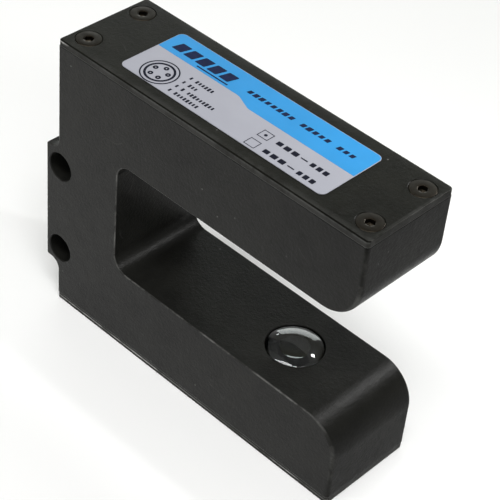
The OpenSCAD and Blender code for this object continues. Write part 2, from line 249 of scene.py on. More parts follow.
def joined(bms):
    out = bmesh.new()
    for b in bms:
        bmesh.ops.recalc_face_normals(b, faces=b.faces[:])
        me = bpy.data.meshes.new("tmp")
        b.to_mesh(me)
        b.free()
        out.from_mesh(me)
        bpy.data.meshes.remove(me)
    return out


# ------------------------------------------------------------------ material helpers

def new_material(name):
    m = bpy.data.materials.new(name)
    m.use_nodes = True
    nt = m.node_tree
    for n in list(nt.nodes):
        nt.nodes.remove(n)
    out = nt.nodes.new("ShaderNodeOutputMaterial")
    bsdf = nt.nodes.new("ShaderNodeBsdfPrincipled")
    nt.links.new(bsdf.outputs["BSDF"], out.inputs["Surface"])
    return m, nt, bsdf


def node(nt, kind, **inputs):
    n = nt.nodes.new(kind)
    for k, v in inputs.items():
        if k in n.inputs:
            n.inputs[k].default_value = v
        else:
            setattr(n, k, v)
    return n


def coords(nt):
    return node(nt, "ShaderNodeTexCoord").outputs["Object"]


def noise(nt, vec, scale, detail=3.0, rough=0.55, distortion=0.0):
    n = nt.nodes.new("ShaderNodeTexNoise")
    n.inputs["Scale"].default_value = scale
    n.inputs["Detail"].default_value = detail
    n.inputs["Roughness"].default_value = rough
    n.inputs["Distortion"].default_value = distortion
    nt.links.new(vec, n.inputs["Vector"])
    return n.outputs["Fac"]


def ramp(nt, fac, stops):
    n = nt.nodes.new("ShaderNodeValToRGB")
    el = n.color_ramp.elements
    while len(el) > len(stops):
        el.remove(el[-1])
    while len(el) < len(stops):
        el.new(0.5)
    for e, (p, c) in zip(el, stops):
        e.position = p
        e.color = (c, c, c, 1) if not hasattr(c, "__len__") else (*c[:3], 1)
    nt.links.new(fac, n.inputs["Fac"])
    return n.outputs["Color"]


def mathn(nt, op, a, b=None, clamp=False):
    n = nt.nodes.new("ShaderNodeMath")
    n.operation = op
    n.use_clamp = clamp
    for i, v in enumerate((a, b)):
        if v is None:
            continue
        if isinstance(v, (int, float)):
            n.inputs[i].default_value = v
        else:
            nt.links.new(v, n.inputs[i])
    return n.outputs[0]


def mix(nt, fac, a, b):
    n = nt.nodes.new("ShaderNodeMix")
    n.data_type = "RGBA"
    if isinstance(fac, (int, float)):
        n.inputs[0].default_value = fac
    else:
        nt.links.new(fac, n.inputs[0])
    for i, v in ((6, a), (7, b)):
        if hasattr(v, "__len__"):
            n.inputs[i].default_value = (*v[:3], 1)
        else:
            nt.links.new(v, n.inputs[i])
    return n.outputs[2]


def maprange(nt, v, a, b, c, d):
    n = nt.nodes.new("ShaderNodeMapRange")
    nt.links.new(v, n.inputs["Value"])
    for k, x in (("From Min", a), ("From Max", b), ("To Min", c), ("To Max", d)):
        n.inputs[k].default_value = x
    return n.outputs["Result"]


def bump(nt, bsdf, parts):
    """parts: (height, strength, distance in metres), chained."""
    normal = None
    for h, s, d in parts:
        b = nt.nodes.new("ShaderNodeBump")
        b.inputs["Strength"].default_value = s
        b.inputs["Distance"].default_value = d
        nt.links.new(h, b.inputs["Height"])
        if normal is not None:
            nt.links.new(normal, b.inputs["Normal"])
        normal = b.outputs["Normal"]
    nt.links.new(normal, bsdf.inputs["Normal"])


def scaled(nt, vec, s):
    n = nt.nodes.new("ShaderNodeMapping")
    n.inputs["Scale"].default_value = s
    nt.links.new(vec, n.inputs["Vector"])
    return n.outputs["Vector"]


def paint(name, base, worn_and_highlight_colour, rough, grain, wear_amount, spec=0.5):
    """Satin black paint on aluminium: fine grain, faint mottling, small bright specks, broken worn patches along the
    edges and a steady lighter band along every rounded edge that is partly worn paint and partly a painted highlight.
    """
    m, nt, p = new_material(name)
    v = coords(nt)
    mottle = noise(nt, v, 160, 4, 0.6)
    fine = noise(nt, v, 2600, 3, 0.6)
    big = noise(nt, v, 45, 2, 0.5)
    tone = mathn(nt, "ADD", mathn(nt, "MULTIPLY", mottle, 0.5), mathn(nt, "MULTIPLY", big, 0.5))
    dark = tuple(c * 0.62 for c in base)
    light = tuple(c * 1.42 for c in base)
    col = mix(nt, maprange(nt, tone, 0.35, 0.65, 0, 1), dark, light)
    # tiny specks of bare metal and dust
    cells = nt.nodes.new("ShaderNodeTexVoronoi")
    cells.inputs["Scale"].default_value = 420
    nt.links.new(v, cells.inputs["Vector"])
    near = maprange(nt, cells.outputs["Distance"], 0.10, 0.03, 0, 1)
    cellcol = nt.nodes.new("ShaderNodeSeparateColor")
    nt.links.new(cells.outputs["Color"], cellcol.inputs["Color"])
    chosen = maprange(nt, cellcol.outputs[0], 0.930, 0.940, 0, 1)
    speck = mathn(nt, "MULTIPLY", near, chosen, True)
    # hairline scratches along noise contours, kept to a few patches
    lines = noise(nt, v, 38, 2, 0.4, 0.6)
    thin = maprange(nt, mathn(nt, "ABSOLUTE", mathn(nt, "SUBTRACT", lines, 0.52)), 0.0022, 0.0008, 0, 1)
    patchy = maprange(nt, noise(nt, v, 70, 3, 0.6), 0.60, 0.66, 0, 1)
    scratch = mathn(nt, "MULTIPLY", mathn(nt, "MULTIPLY", thin, patchy, True), 0.10)
    # worn edges, plus a steady lighter band along every rounded edge that is a painted highlight as well as wear
    a = nt.nodes.new("ShaderNodeAttribute")
    a.attribute_name = "edge_wear_and_highlight"
    edge = a.outputs["Fac"]
    patch = noise(nt, v, 210, 5, 0.7)
    patch2 = noise(nt, v, 60, 3, 0.6)
    rubbed = maprange(nt, mathn(nt, "ADD", mathn(nt, "MULTIPLY", patch, 0.6), mathn(nt, "MULTIPLY", patch2, 0.4)), 0.62 - 0.22 * wear_amount, 0.72 - 0.18 * wear_amount, 0, 1)
    worn_mask = mathn(nt, "MULTIPLY", edge, rubbed, True)
    # painted edge highlight: a steady lighter band along the whole of every rounded edge, on top of the patchy wear
    edge_sheen_and_wear = mathn(nt, "MULTIPLY", edge, 0.16 * wear_amount)
    mask = mathn(nt, "MAXIMUM", mathn(nt, "MAXIMUM", worn_mask, edge_sheen_and_wear), mathn(nt, "MULTIPLY", speck, 0.42))
    mask = mathn(nt, "MAXIMUM", mask, scratch)
    col = mix(nt, mask, col, worn_and_highlight_colour)
    nt.links.new(col, p.inputs["Base Color"])
    r = maprange(nt, mathn(nt, "ADD", mathn(nt, "MULTIPLY", fine, 0.5), mathn(nt, "MULTIPLY", noise(nt, v, 520, 4, 0.65), 0.5)), 0.36, 0.64, rough - 0.07, rough + 0.08)
    r = mathn(nt, "SUBTRACT", r, mathn(nt, "MULTIPLY", mask, 0.12))
    nt.links.new(r, p.inputs["Roughness"])
    p.inputs["Specular IOR Level"].default_value = spec
    bump(nt, p, [(noise(nt, v, 1350, 4, 0.7), grain, 0.00009), (mottle, grain * 0.35, 0.00008)])
    return m


def plain(name, base, rough, metallic=0.0, scale=400, var=0.12, grain=0.15, spec=0.5, distance=0.00003):
    """A moulded or plated surface with faint tone variation and fine grain."""
    m, nt, p = new_material(name)
    v = coords(nt)
    n = noise(nt, v, scale, 3)
    col = mix(nt, maprange(nt, n, 0.3, 0.7, 0, 1), tuple(c * (1 - var) for c in base), tuple(min(1, c * (1 + var)) for c in base))
    nt.links.new(col, p.inputs["Base Color"])
    nt.links.new(maprange(nt, noise(nt, v, scale * 3, 3), 0.3, 0.7, max(0.02, rough - 0.05), rough + 0.05), p.inputs["Roughness"])
    p.inputs["Metallic"].default_value = metallic
    p.inputs["Specular IOR Level"].default_value = spec
    bump(nt, p, [(noise(nt, v, scale * 5, 3), grain, distance)])
    return m


def turned(name, base, rough, centre_scale=1.0, tint=None):
    """Metal with turning marks and stains."""
    m, nt, p = new_material(name)
    v = coords(nt)
    stain = noise(nt, v, 380, 4, 0.6)
    grains = noise(nt, scaled(nt, v, (1, 1, 1)), 2400, 2)
    col = mix(nt, maprange(nt, stain, 0.35, 0.65, 0, 1), base, tint or tuple(c * 0.7 for c in base))
    nt.links.new(col, p.inputs["Base Color"])
    p.inputs["Metallic"].default_value = 1.0
    nt.links.new(maprange(nt, stain, 0.3, 0.7, rough - 0.06, rough + 0.1), p.inputs["Roughness"])
    bump(nt, p, [(grains, 0.2, 0.00002)])
    return m


MAT = {}
MAT["body"] = paint("body_paint", (0.0073, 0.0073, 0.0064), (0.26, 0.26, 0.25), 0.37, 0.85, 0.9, 0.145)
MAT["cover"] = paint("cover_paint", (0.0080, 0.0080, 0.0062), (0.36, 0.36, 0.35), 0.37, 0.60, 1.0, 0.105)
# a darker, matt copy of the cover paint for the top cover's rounded front edge: painted shade
MAT["cover_edge"] = paint("cover_edge_paint", (0.0065, 0.0065, 0.0052), (0.20, 0.20, 0.18), 0.70, 0.30, 0.3, 0.03)
MAT["gasket"] = plain("gasket_rubber", (0.034, 0.034, 0.033), 0.6, scale=900)
MAT["lens_edge"] = plain("lens_edge_black", (0.006, 0.006, 0.006), 0.6, scale=900)
MAT["screw"] = turned("screw_steel", (0.036, 0.031, 0.024), 0.42, tint=(0.022, 0.018, 0.013))
MAT["nickel"] = turned("connector_nickel", (0.60, 0.59, 0.56), 0.26, tint=(0.48, 0.47, 0.44))
MAT["insert"] = plain("insert_phenolic", (0.016, 0.014, 0.012), 0.5, scale=700)
MAT["pin"] = turned("pin_gold", (0.83, 0.60, 0.24), 0.22, tint=(0.70, 0.48, 0.18))
MAT["label"] = plain("label_silver", (0.335, 0.34, 0.39), 0.42, scale=120, var=0.03, grain=0.06)
MAT["blue"] = plain("label_blue", (0.017, 0.250, 0.58), 0.40, scale=120, var=0.04, grain=0.06, spec=0.4)
MAT["ink"] = plain("label_ink", (0.004, 0.005, 0.014), 0.6, scale=500, var=0.2, grain=0.1, spec=0.10)
MAT["navy"] = plain("label_navy", (0.004, 0.010, 0.045), 0.6, scale=500, var=0.2, grain=0.1, spec=0.12)
MAT["tube"] = plain("tube_plastic", (0.012, 0.012, 0.012), 0.7, scale=600)
MAT["board"] = plain("board_laminate", (0.015, 0.10, 0.045), 0.35, scale=900, var=0.25, grain=0.3)
MAT["steel"] = turned("bright_steel", (0.55, 0.55, 0.54), 0.3)
MAT["chip"] = plain("chip_plastic", (0.02, 0.02, 0.02), 0.55, scale=1200, var=0.2)
MAT["can"] = turned("can_aluminium", (0.62, 0.63, 0.65), 0.28)
MAT["resistor"] = plain("resistor_ceramic", (0.04, 0.04, 0.05), 0.4, scale=1500)
MAT["header"] = plain("header_nylon", (0.74, 0.71, 0.62), 0.45, scale=500, var=0.05)
MAT["trimmer"] = plain("trimmer_blue", (0.02, 0.08, 0.33), 0.3, scale=700, var=0.08)
MAT["rotor"] = plain("rotor_nylon", (0.78, 0.77, 0.72), 0.4, scale=700, var=0.05)
MAT["photodiode"] = plain("photodiode_epoxy", (0.02, 0.016, 0.035), 0.12, scale=300, var=0.1, grain=0.02)
MAT["wire_red"] = plain("wire_red", (0.45, 0.035, 0.025), 0.4, scale=800, var=0.08)
MAT["wire_blue"] = plain("wire_blue", (0.025, 0.07, 0.36), 0.4, scale=800, var=0.08)


def glass_material(name, tint, rough, ior):
    m, nt, p = new_material(name)
    v = coords(nt)
    n = noise(nt, v, 250, 2)
    nt.links.new(mix(nt, n, tint, tuple(min(1, c * 1.02) for c in tint)), p.inputs["Base Color"])
    p.inputs["Transmission Weight"].default_value = 1.0
    p.inputs["IOR"].default_value = ior
    nt.links.new(maprange(nt, n, 0.3, 0.7, rough, rough + 0.012), p.inputs["Roughness"])
    return m


MAT["glass"] = glass_material("lens_glass", (0.93, 0.97, 0.98), 0.0, 1.5)
MAT["led"] = glass_material("led_epoxy", (0.78, 0.84, 0.98), 0.08, 1.5)


# ------------------------------------------------------------------ housing

def front_path():
    """Outline points (x, z) with the edge radius at each, from the top of the upper tip round the gap to the bottom of the lower tip."""
    pts = []
    small = EDGE_R

    def add(p, r):
        if pts and abs(pts[-1][0] - p[0]) + abs(pts[-1][1] - p[1]) < 1e-6:
            return
        pts.append((p[0], p[1], r))

    def s(t):
        t = min(1, max(0, t))
        return t * t * (3 - 2 * t)

    add((L, Z_HI), FRONT_R)
    add((L, Z2 + TIP_R + 3), FRONT_R)
    n = 18
    for i, p in enumerate(arc(L - TIP_R, Z2 + TIP_R, TIP_R, 0, -90, n)):
        add(p, FRONT_R + (small - FRONT_R) * s(i / n))
    add((LENS_X + 10, Z2), small)
    add((LENS_X - 10, Z2), small)
    for p in arc(XS + SLOT_R, Z2 - SLOT_R, SLOT_R, 90, 180, 12):
        add(p, small)
    add((XS, (Z1 + Z2) / 2), small)
    for p in arc(XS + SLOT_R, Z1 + SLOT_R, SLOT_R, 180, 270, 12):
        add(p, small)
    add((LENS_X - 10, Z1), small)
    add((LENS_X + 10, Z1), small)
    for i, p in enumerate(arc(L - TIP_R, Z1 - TIP_R, TIP_R, 90, 0, n)):
        add(p, small + (FRONT_R - small) * s(i / n))
    add((L, Z_LO), FRONT_R)
    return pts


def back_path():
    """The same for the back of the spine and the lug, from the bottom up."""
    pts = []
    c = 0.6

    def add(p, r):
        if pts and abs(pts[-1][0] - p[0]) + abs(pts[-1][1] - p[1]) < 1e-6:
            return
        pts.append((p[0], p[1], r))

    r = BACK_R
    add((0, Z_LO), r)
    add((0, LUG_Z0 - LUG_R - 1.5), r)
    for i, p in enumerate(arc(-LUG_R, LUG_Z0 - LUG_R, LUG_R, 0, 90, 10)):
        add(p, r + (EDGE_R - r) * i / 10)
    for p in arc(-LUG_D + c, LUG_Z0 + c, c, 270, 180, 6):
        add(p, EDGE_R)
    add((-LUG_D, (LUG_Z0 + LUG_Z1) / 2), EDGE_R)
    for p in arc(-LUG_D + c, LUG_Z1 - c, c, 180, 90, 6):
        add(p, EDGE_R)
    for i, p in enumerate(arc(-LUG_R, LUG_Z1 + LUG_R, LUG_R, 270, 360, 10)):
        add(p, EDGE_R + (r - EDGE_R) * i / 10)
    add((0, LUG_Z1 + LUG_R + 1.5), r)
    add((0, Z_HI), r)
    return pts


def path_normals(path, side):
    """Unit normals out of the material: the left-hand or right-hand side of the path."""
    out = []
    n = len(path)
    for i in range(n):
        a = path[max(0, i - 1)]
        b = path[min(n - 1, i + 1)]
        p = path[i]
        e1 = Vector((p[0] - a[0], p[1] - a[1]))
        e2 = Vector((b[0] - p[0], b[1] - p[1]))
        e1 = e1.normalized() if e1.length > 1e-9 else e2.normalized()
        e2 = e2.normalized() if e2.length > 1e-9 else e1.normalized()
        t = (e1 + e2).normalized()
        k = 1 / max(0.5, t.dot(e1))
        out.append((side * -t.y * k, side * t.x * k))
    return out


RIM = 0.12


def rub_and_highlight(x, y, z):
    """How much an edge is rubbed at this place: most along the lower front edge and at the upper front corner by the
    spine. Along the top front rim the weight makes a painted highlight line that lightens the shade of the seam above
    it.
    """
    w = 0.35
    if y < 0 and z < 2.6:
        w = 1.0 if x < 75 else 0.7
    # top front rim under the seam: a painted light line that offsets the seam's shade
    elif y < 0 and z > 70.5:
        w = 0.55
    elif y < 0 and XS - 1 < x < L - TIP_R and Z1 - 1 < z < Z2 + 1:
        w = 0.4
    elif x > L - TIP_R - 2:
        w = 0.22
    elif x < 1 and y < 0:
        w = 0.6
    return w


def build_housing():
    bm = bmesh.new()
    edge_wear_and_highlight = bm.verts.layers.float.new("edge_wear_and_highlight")
    m = 6
    wear_at = []

    def rings(path, normals):
        out = []
        for (x, z, r), (nx, nz) in zip(path, normals):
            ring = []
            for sy in (-1, 1):
                seq = range(m + 1) if sy < 0 else range(m, -1, -1)
                for k in seq:
                    a = math.pi / 2 * k / m
                    d = r * (1 - math.sin(a))
                    y = HALF - r * (1 - math.cos(a))
                    v = bm.verts.new((x - nx * d, sy * y, z - nz * d))
                    v[edge_wear_and_highlight] = math.sin(2 * a)
                    ring.append(v)
            out.append(ring)
        return out

    fp, bp = front_path(), back_path()
    # the front path runs down and round with the material on its right, so outward is its left
    f_rings = rings(fp, path_normals(fp, 1))
    b_rings = rings(bp, path_normals(bp, 1))
    for rs in (f_rings, b_rings):
        for a, b in zip(rs, rs[1:]):
            for i in range(len(a) - 1):
                bm.faces.new([a[i], a[i + 1], b[i + 1], b[i]])
    # flat sides
    for side in (0, -1):
        loop = [r[side] for r in f_rings] + [r[side] for r in b_rings]
        bm.faces.new(loop)
    # top and bottom faces
    bm.faces.new(f_rings[0] + list(reversed(b_rings[-1])))
    bm.faces.new(f_rings[-1] + list(reversed(b_rings[0])))
    bmesh.ops.recalc_face_normals(bm, faces=bm.faces[:])
    # small rounding round the rims where the covers sit
    for z in (Z_HI, Z_LO):
        rim = [e for e in bm.edges if all(abs(v.co.z - z) < 1e-6 for v in e.verts) and any(abs(f.normal.z) < 0.5 for f in e.link_faces)]
        bmesh.ops.bevel(bm, geom=rim, offset=RIM, offset_type="OFFSET", segments=4, profile=0.5, affect="EDGES", clamp_overlap=True)
        sgn = 1 if z == Z_HI else -1
        for v in bm.verts:
            t = sgn * (z - v.co.z)
            if 1e-4 < t < RIM - 1e-4:
                v[edge_wear_and_highlight] = 1.0
            elif abs(t) <= 1e-4 or abs(t - RIM) < 1e-3:
                v[edge_wear_and_highlight] = 0.0
    keep = [(v.co.copy(), v[edge_wear_and_highlight] * rub_and_highlight(*v.co)) for v in bm.verts if v[edge_wear_and_highlight] > 0.01]
    ob = object_from(bm, "housing_shell")

    # pockets and channel in one C-shaped cutter, less the posts for the boards
    cx0, cx1, cy = 7.0, L - 8.0, HALF - 3.0
    roof, floor, chan = Z1 - 3.0, Z2 + 3.0, XS - 3.5
    outline = [(cx0, Z_LO - 2), (cx1, Z_LO - 2), (cx1, roof), (chan, roof), (chan, floor), (cx1, floor), (cx1, Z_HI + 2), (cx0, Z_HI + 2)]
    cb = bmesh.new()
    lo = [cb.verts.new((x, -cy, z)) for x, z in outline]
    hi = [cb.verts.new((x, cy, z)) for x, z in outline]
    cb.faces.new(lo)
    cb.faces.new(list(reversed(hi)))
    for i in range(len(outline)):
        j = (i + 1) % len(outline)
        cb.faces.new([lo[j], lo[i], hi[i], hi[j]])
    ends = [e for e in cb.edges if abs(e.verts[0].co.x - e.verts[1].co.x) < 1e-6 and abs(e.verts[0].co.y - e.verts[1].co.y) < 1e-6]
    bmesh.ops.bevel(cb, geom=ends, offset=2.0, offset_type="OFFSET", segments=6, profile=0.5, affect="EDGES")
    cutter = object_from(cb, "cut_pockets")
    posts = []
    for px in (28.0, 75.0):
        for za, zb in ((9.0, roof + 1), (floor - 1, 64.6)):
            pb = bmesh.new()
            revolve(pb, [(0, za), (2.4, za), (2.4, zb), (0, zb)], 32, centre=(px, 0, 0))
            posts.append(pb)
    cutter = boolean(cutter, object_from(joined(posts), "posts"))
    ob = boolean(ob, cutter)

    # every round hole
    cuts = []
    for z in HOLE_Z:
        b = bmesh.new()
        c, h = 0.22, HALF
        revolve(b, [(0, -h - 1), (3.5 + c + 1, -h - 1), (3.5, -h + c), (3.5, h - c), (3.5 + c + 1, h + 1), (0, h + 1)], 72, axis="Y", centre=(HOLE_X, 0, z))
        cuts.append(b)
    r = LENS_R + 0.05
    for s, zf in ((1, Z1), (-1, Z2)):
        b = bmesh.new()
        prof = [(0, zf + s * 1), (r + 1.15, zf + s * 1), (r, zf - s * 0.15), (r, zf - s * 1.8), (5.4, zf - s * 1.8), (5.4, zf - s * 4), (0, zf - s * 4)]
        revolve(b, prof, 96, centre=(LENS_X, 0, 0))
        cuts.append(b)
    b = bmesh.new()
    revolve(b, [(0, -1), (5.52, -1), (5.52, 8), (0, 8)], 64, axis="X", centre=(0, 0, CON_Z))
    cuts.append(b)
    for x in SCREW_X:
        for y in (-SCREW_Y, SCREW_Y):
            for za, zb in ((Z_LO - 1, Z_LO + 8.2), (Z_HI - 8.2, Z_HI + 1)):
                b = bmesh.new()
                revolve(b, [(0, za), (1.52, za), (1.52, zb), (0, zb)], 24, centre=(x, y, 0))
                cuts.append(b)
    for px in (28.0, 75.0):
        for za, zb in ((8.0, 14.0), (59.6, 65.6)):
            b = bmesh.new()
            revolve(b, [(0, za), (1.02, za), (1.02, zb), (0, zb)], 20, centre=(px, 0, 0))
            cuts.append(b)
    ob = boolean(ob, object_from(joined(cuts), "cut_holes"))

    # the wear and highlight layer goes back on by place, as the cuts don't keep it everywhere
    from mathutils.kdtree import KDTree
    tree = KDTree(len(keep))
    for i, (co, w) in enumerate(keep):
        tree.insert(co, i)
    tree.balance()
    me = ob.data
    if "edge_wear_and_highlight" in me.attributes:
        me.attributes.remove(me.attributes["edge_wear_and_highlight"])
    attr = me.attributes.new("edge_wear_and_highlight", "FLOAT", "POINT")
    for v in me.vertices:
        co, i, d = tree.find(v.co)
        attr.data[v.index].value = keep[i][1] if d is not None and d < 1e-3 else 0.0
        v.co = rowframe(v.co)
    ob.name = "housing_shell"
    me.materials.clear()
    me.materials.append(MAT["body"])
    shade(ob, 30)
    return ob


housing = build_housing()
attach(housing, BODY)
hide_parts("housing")


# ------------------------------------------------------------------ covers, gaskets, screws

def build_cover(name, top):
    """Cover plate with rounded edges and countersinks."""
    stations = (0.9, 1.4, 2.0, 2.6, 3.4, 5, 8, 11, 14, 17, 20, 24, 28, 32, 36, 40, 46, 52, 60, 68, 72, 76, 80)
    outline = plan_outline(INSET, L - INSET, 2 * (HALF - INSET), BACK_R, FRONT_R - INSET, front=stations)
    if not top:
        # this plate is turned over, so its front side is the other one
        outline = [(x, -y) for x, y in reversed(outline)]
    edge = 0.26 if top else 0.14
    bm = plate(name, outline, 0, COVER_T, edge, None, bottom_edge=0.02, rows=(0.62, 0.42, 0.12) if top else (1.04, 0.88, 0.76, 0.64, 0.48))
    edge_wear_and_highlight = bm.verts.layers.float["edge_wear_and_highlight"]

    def place(x, y, z, w):
        """Edge weight at a point of the plate's side or edge, z being the depth below the outer face: rubbing, and on
        the top plate's front side a painted highlight that makes that side lighter than the body.
        """
        front = y < -HALF + INSET + 0.5
        near_edge = max(0.0, 1 - abs(z - edge - (0.17 if top else 0.76)) / (0.3 if top else 0.26))
        if top:
            if front and x < 3.4:
                return 5.0 * near_edge * max(0.0, 1 - abs(x - 1.9) / 2.2)
            # painted highlight: a lighter band on the top plate's front side, standing in for that face catching more
            # light than the body
            if front:
                return 0.05 + 0.10 * near_edge
            return w * 0.06 + 0.05
        if front:
            run = ((0, 0.6), (3, 1.0), (8, 0.8), (14, 1.4), (34, 1.4), (40, 0.5), (60, 0.3), (68, 0.3), (75, 1.0), (80, 0.3), (90, 0.25))
            for (xa, wa), (xb, wb) in zip(run, run[1:]):
                if xa <= x <= xb:
                    return near_edge * (wa + (wb - wa) * (x - xa) / (xb - xa))
        return 0.3 * w

    keep = []
    for v in bm.verts:
        y = v.co.y if top else -v.co.y
        keep.append((v.co.copy(), place(v.co.x, y, COVER_T - v.co.z, v[edge_wear_and_highlight])))
    ob = object_from(bm, name)
    cuts = []
    for x in SCREW_X:
        for y in (-SCREW_Y, SCREW_Y):
            b = bmesh.new()
            t = COVER_T
            revolve(b, [(0, -1), (1.6, -1), (1.6, t - 1.49), (3.09, t), (3.09 + 0.3, t + 0.06), (3.5, t + 1), (0, t + 1)], 64, centre=(x, y, 0))
            cuts.append(b)
    ob = boolean(ob, object_from(joined(cuts), "cut"))
    from mathutils.kdtree import KDTree
    tree = KDTree(len(keep))
    for i, (co, w) in enumerate(keep):
        tree.insert(co, i)
    tree.balance()
    me = ob.data
    if "edge_wear_and_highlight" in me.attributes:
        me.attributes.remove(me.attributes["edge_wear_and_highlight"])
    attr = me.attributes.new("edge_wear_and_highlight", "FLOAT", "POINT")
    for v in me.vertices:
        co, i, d = tree.find(v.co)
        attr.data[v.index].value = keep[i][1] if d < 1e-3 else 0.0
    z0 = TOTAL - COVER_T
    for v in me.vertices:
        x, y, z = v.co
        v.co = rowframe((x, y, z0 + z) if top else (x, -y, COVER_T - z))
    me.materials.clear()
    me.materials.append(MAT["cover"])
    me.materials.append(MAT["cover_edge"])
    if top:
        for p in me.polygons:
            # the rounded front edge gets a darker, matt paint: painted shade in place of a bright line along it
            if p.normal.y < -0.15 and p.normal.z > 0.12 and p.center.y * 1000 < -HALF + 1:
                p.material_index = 1
    shade(ob, 30)
    return ob


for name, top, cad in (("top_cover_plate", True, "top_cover"), ("bottom_cover_plate", False, "bottom_cover")):
    o = build_cover(name, top)
    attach(o, BODY)
    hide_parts(cad)


GAS_LO, GAS_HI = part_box("top_cover_gasket")
GT = (GAS_HI.z - GAS_LO.z) * 1000
for name, top, cad in (("top_gasket_strip", True, "top_cover_gasket"), ("bottom_gasket_strip", False, "bottom_cover_gasket")):
    za = TOTAL - COVER_T - GT if top else COVER_T
    ring = bmesh.new()
    outside = plan_outline(0.07, L - 0.07, 2 * HALF - 0.14, BACK_R, FRONT_R - 0.05)
    inside = plan_outline(7.5, L - 8.5, 2 * (HALF - 3.5), 2.0, 2.0)
    rows = []
    for pts, zz in ((inside, za), (inset_outline(outside, 0.03), za), (outside, za + GT / 2), (inset_outline(outside, 0.03), za + GT), (inside, za + GT)):
        rows.append([ring.verts.new((x, y, zz)) for x, y in pts])
    for a, b in zip(rows, rows[1:] + [rows[0]]):
        for i in range(len(a)):
            j = (i + 1) % len(a)
            ring.faces.new([a[i], a[j], b[j], b[i]])
    ob = object_from(ring, name)
    cuts = []
    for x in SCREW_X:
        for y in (-SCREW_Y, SCREW_Y):
            b = bmesh.new()
            revolve(b, [(0, za - 1), (1.6, za - 1), (1.6, za + GT + 1), (0, za + GT + 1)], 24, centre=(x, y, 0))
            cuts.append(b)
    ob = boolean(ob, object_from(joined(cuts), "cut"))
    for v in ob.data.vertices:
        v.co = rowframe(v.co)
    ob.data.materials.clear()
    ob.data.materials.append(MAT["gasket"])
    shade(ob, 40)
    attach(ob, BODY)
    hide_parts(cad)


def screw_mesh(af=2.0, head=2.86, shank=1.5, length=8.0, socket=1.1):
    """Countersunk hexagon-socket screw, head face at z = 0 and shank down, with a rolled thread."""
    bm = bmesh.new()
    seg = 72
    apothem = af / 2

    def hexr(a):
        k = (a + math.pi / 6) % (math.pi / 3) - math.pi / 6
        return apothem / math.cos(k)

    def ring(rf, z):
        return [bm.verts.new((rf(a) * math.cos(a), rf(a) * math.sin(a), z)) for a in (2 * math.pi * i / seg for i in range(seg))]

    rs = []
    rs.append(ring(lambda a: hexr(a) * 0.55, -socket - 0.35))
    rs.append(ring(lambda a: hexr(a) * 0.97, -socket))
    rs.append(ring(hexr, -socket + 0.05))
    rs.append(ring(hexr, -0.09))
    rs.append(ring(lambda a: hexr(a) * 0.4 + 0.6 * (apothem + 0.16) + 0.05, -0.015))
    rs.append(ring(lambda a: apothem + 0.42, 0.0))
    rs.append(ring(lambda a: head - 0.22, 0.0))
    rs.append(ring(lambda a: head - 0.08, -0.03))
    rs.append(ring(lambda a: head, -0.1))
    rs.append(ring(lambda a: head - 0.06, -0.2))
    rs.append(ring(lambda a: shank + 0.02, -(head - shank) - 0.06))
    for a, b in zip(rs, rs[1:]):
        for i in range(seg):
            j = (i + 1) % seg
            bm.faces.new([a[i], a[j], b[j], b[i]])
    c = bm.verts.new((0, 0, -socket - 0.5))
    for i in range(seg):
        bm.faces.new([c, rs[0][(i + 1) % seg], rs[0][i]])
    # thread: a helix of depth 0.27 at a pitch of 0.5
    pitch, depth = 0.5, 0.27
    z_top, z_end = -(head - shank) - 0.2, -length
    per = 5
    rows = int((z_top - z_end) / pitch * per)
    prev = rs[-1]
    for k in range(rows + 1):
        z = z_top + (z_end - z_top) * k / rows
        fade = min(1, (z_top - z) / 0.4, (z - z_end) / 0.3 + 0.15)
        cur = []
        for i in range(seg):
            a = 2 * math.pi * i / seg
            ph = (z / pitch + a / (2 * math.pi)) % 1
            tri = abs(2 * ph - 1)
            rr = shank - depth * (1 - tri) * max(0, fade)
            if z - z_end < 0.3:
                rr -= (0.3 - (z - z_end)) * 0.8
            cur.append(bm.verts.new((rr * math.cos(a), rr * math.sin(a), z)))
        for i in range(seg):
            j = (i + 1) % seg
            bm.faces.new([prev[i], prev[j], cur[j], cur[i]])
        prev = cur
    bm.faces.new(list(reversed(prev)))
    return bm


def screw_set(name, top):
    parts = []
    turn = 0
    for x in SCREW_X:
        for y in (-SCREW_Y, SCREW_Y):
            b = screw_mesh()
            turn += 1
            bmesh.ops.rotate(b, verts=b.verts[:], cent=(0, 0, 0), matrix=Matrix.Rotation(0.35 + turn * 1.13, 3, "Z"))
            if not top:
                for v in b.verts:
                    v.co.z = -v.co.z
                    v.co.y = -v.co.y
                bmesh.ops.translate(b, verts=b.verts[:], vec=(x, y, 0.05))
            else:
                bmesh.ops.translate(b, verts=b.verts[:], vec=(x, y, TOTAL - 0.05))
            parts.append(b)
    bm = joined(parts)
    return to_object(name, bm, [MAT["screw"]], angle=28, weighted=False)


for name, top, cad in (("top_screws", True, "top_cover_screws"), ("bottom_screws", False, "bottom_cover_screws")):
    o = screw_set(name, top)
    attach(o, BODY)
    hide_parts(cad)


# ------------------------------------------------------------------ label

LAB_LO, LAB_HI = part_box("label")
LX0, LX1 = (LAB_LO.x - X0) * 1000, (LAB_HI.x - X0) * 1000
LW = (LAB_HI.y - LAB_LO.y) * 1000
LZ = LAB_LO.z * 1000


def flat_piece(parts, z0, z1):
    """Thin closed solids from plan outlines, in one mesh."""
    bm = bmesh.new()
    for pts in parts:
        lo = [bm.verts.new((x, y, z0)) for x, y in pts]
        hi = [bm.verts.new((x, y, z1)) for x, y in pts]
        bm.faces.new(list(reversed(lo)))
        bm.faces.new(hi)
        n = len(pts)
        for i in range(n):
            j = (i + 1) % n
            bm.faces.new([lo[i], lo[j], hi[j], hi[i]])
    return bm


def ring_piece(bm, cx, cy, r0, r1, z0, z1, n=64):
    prof = [(r0, z0), (r1, z0), (r1, z1), (r0, z1)]
    revolve(bm, prof, n, centre=(cx, cy, 0), close=True)


